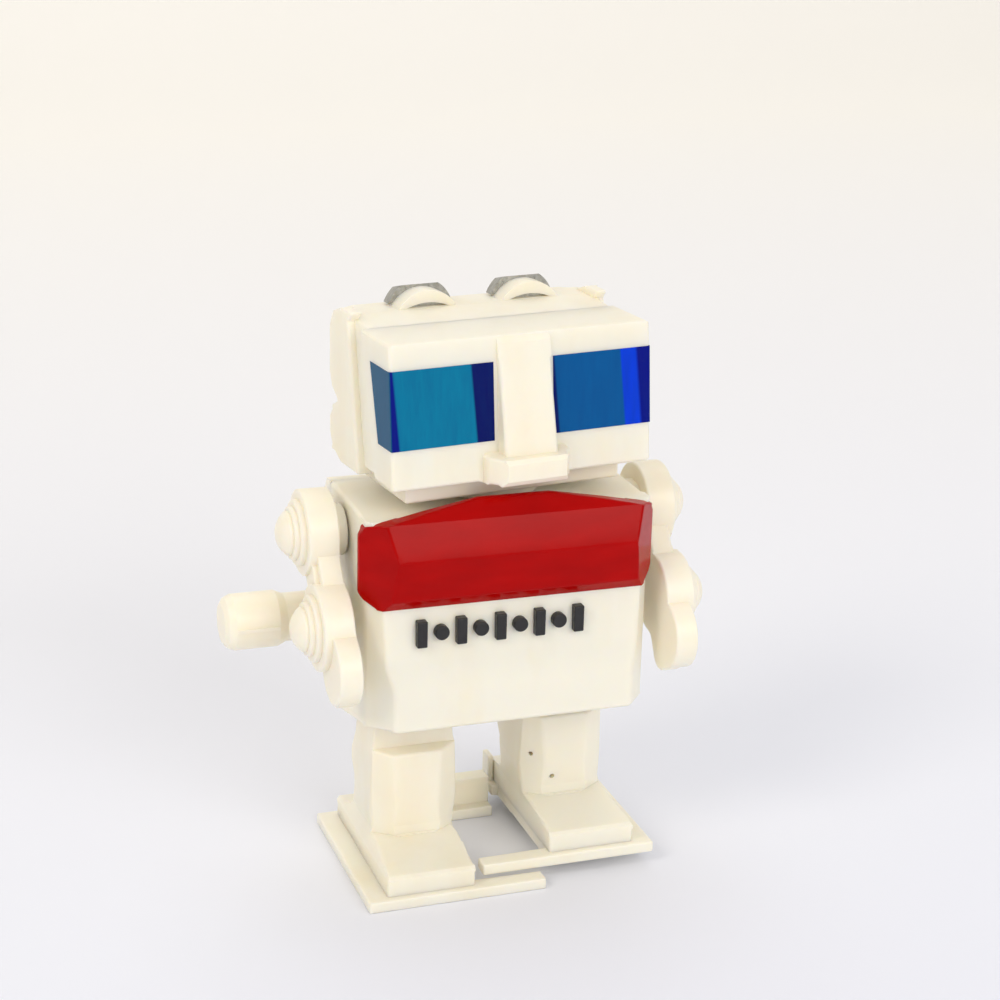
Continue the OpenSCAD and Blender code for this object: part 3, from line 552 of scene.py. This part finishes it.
def flatten_shading(piece):
    """Keep broad faces flat in the shading, so that only the rounded edges bend the light."""
    weighted = piece.modifiers.new("broad_faces", "WEIGHTED_NORMAL")
    weighted.mode = "FACE_AREA"
    weighted.keep_sharp = True
    weighted.use_face_influence = True
    weighted.weight = 100
    bpy.context.view_layer.update()
    evaluated = piece.evaluated_get(bpy.context.evaluated_depsgraph_get())
    mesh = bpy.data.meshes.new_from_object(evaluated)
    normals = []
    for polygon in mesh.polygons:
        for loop in polygon.loop_indices:
            normal = mesh.corner_normals[loop].vector.copy()
            normals.append(normal if normal.dot(polygon.normal) > FAITHFUL else polygon.normal.copy())
    mesh.normals_split_custom_set(normals)
    piece.modifiers.clear()
    piece.data = mesh
    mesh.name = piece.name


def moulded(node, radius):
    """A copy of a CAD node with its outer edges rounded, which stands in for the sharp-edged one."""
    mesh = NODES[node].data.copy()
    bm = bmesh.new()
    bm.from_mesh(mesh)
    corners = creases(mesh)
    for edge in bm.edges:
        edge.smooth = frozenset(place_key(v.co) for v in edge.verts) not in corners
    bmesh.ops.remove_doubles(bm, verts=bm.verts, dist=WELD)
    bmesh.ops.dissolve_limit(bm, angle_limit=FLAT, verts=bm.verts, edges=bm.edges, delimit={"NORMAL"})
    surface = BVHTree.FromBMesh(bm)
    bm = round_edges(bm, node, radius)
    stay_inside(bm, surface)
    bmesh.ops.triangulate(bm, faces=[f for f in bm.faces if len(f.verts) > 4])
    bm.to_mesh(mesh)
    bm.free()
    mesh.name = node + "_moulded"
    mesh.materials.clear()
    mesh.materials.append(material_of(node))
    for polygon in mesh.polygons:
        polygon.use_smooth = True
        polygon.material_index = 0
    for name in [a.name for a in mesh.attributes if a.name.startswith("custom_normal")]:
        mesh.attributes.remove(mesh.attributes[name])
    piece = bpy.data.objects.new(node + "_moulded", mesh)
    SCENE.collection.objects.link(piece)
    flatten_shading(piece)
    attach(piece, BODY_OF[node])
    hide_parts(node)


for name, radius in RADIUS_OF.items():
    moulded(name, radius)

for name, node in NODES.items():
    if name not in RADIUS_OF:
        node.data.materials.clear()
        node.data.materials.append(material_of(name))


# ------------------------------------------------------------------ stage and light

FLOOR_HALF_WIDTH = 2.4
FLOOR_FRONT = -1.2
# The floor bends up into the backdrop from here, with this radius and in this many steps.
BEND_START = 0.9
BEND_RADIUS = 0.6
BEND_STEPS = 12
BACKDROP_TOP = 2.4


def sweep_mesh():
    """Floor that runs up into a backdrop behind the robot."""
    rows = [(FLOOR_FRONT, 0.0), (BEND_START, 0.0)]
    for i in range(1, BEND_STEPS + 1):
        a = math.radians(90.0 * i / BEND_STEPS)
        rows.append((BEND_START + BEND_RADIUS * math.sin(a), BEND_RADIUS * (1.0 - math.cos(a))))
    rows.append((BEND_START + BEND_RADIUS, BACKDROP_TOP))
    bm = bmesh.new()
    previous = None
    for y, z in rows:
        pair = [bm.verts.new((x, y, z)) for x in (-FLOOR_HALF_WIDTH, FLOOR_HALF_WIDTH)]
        if previous:
            bm.faces.new((previous[0], previous[1], pair[1], pair[0]))
        previous = pair
    mesh = bpy.data.meshes.new("floor")
    bm.to_mesh(mesh)
    bm.free()
    for polygon in mesh.polygons:
        polygon.use_smooth = True
    return mesh


def sweep_paper():
    """Pale paper with painted light: bluer and darker at the front, warmer and brighter towards the back.
    """
    m = Shader("paper_sweep")
    split = m.add("ShaderNodeSeparateXYZ")
    m.link(m.coords, split.inputs["Vector"])
    # Painted light: a cool, darker front runs into a warm, brighter back
    depth = m.span(split.outputs["Y"], 0.0, 1.0, -0.1, 0.75)
    m.base(m.mix(depth, (0.825, 0.86, 0.965), (0.975, 0.965, 0.925)))
    m.rough(m.span(m.noise(400.0), 0.75, 0.9))
    return m.material


def make_stage():
    floor = bpy.data.objects.new("floor", sweep_mesh())
    SCENE.collection.objects.link(floor)
    floor.data.materials.append(sweep_paper())


def area_light(name, place, aim, size, power, colour):
    """Rectangular soft light that shines from its place towards its aim."""
    data = bpy.data.lights.new(name, "AREA")
    data.shape = "RECTANGLE"
    data.size, data.size_y = size
    data.energy = power
    data.color = colour
    light = bpy.data.objects.new(name, data)
    SCENE.collection.objects.link(light)
    light.location = place
    light.rotation_euler = (Vector(aim) - Vector(place)).to_track_quat("-Z", "Y").to_euler()


def make_world():
    """Even light from a soft, slightly warm room."""
    world = bpy.data.worlds.new("soft_room")
    world.use_nodes = True
    background = world.node_tree.nodes["Background"]
    background.inputs["Color"].default_value = (0.95, 0.915, 0.885, 1.0)
    background.inputs["Strength"].default_value = 0.66
    SCENE.world = world


make_stage()
area_light("key", (-1.5, -0.75, 1.35), (0.0, 0.0, 0.04), (0.8, 0.8), 10.5, (1.0, 0.915, 0.77))
area_light("fill", (0.5, -1.7, 0.95), (0.0, 0.0, 0.05), (1.3, 0.9), 12.4, (1.0, 0.968, 0.925))
area_light("top", (0.2, 1.0, 2.0), (0.0, 0.5, 0.0), (1.6, 1.6), 7.5, (0.98, 0.97, 1.0))
make_world()
SCENE.view_settings.view_transform = "Standard"
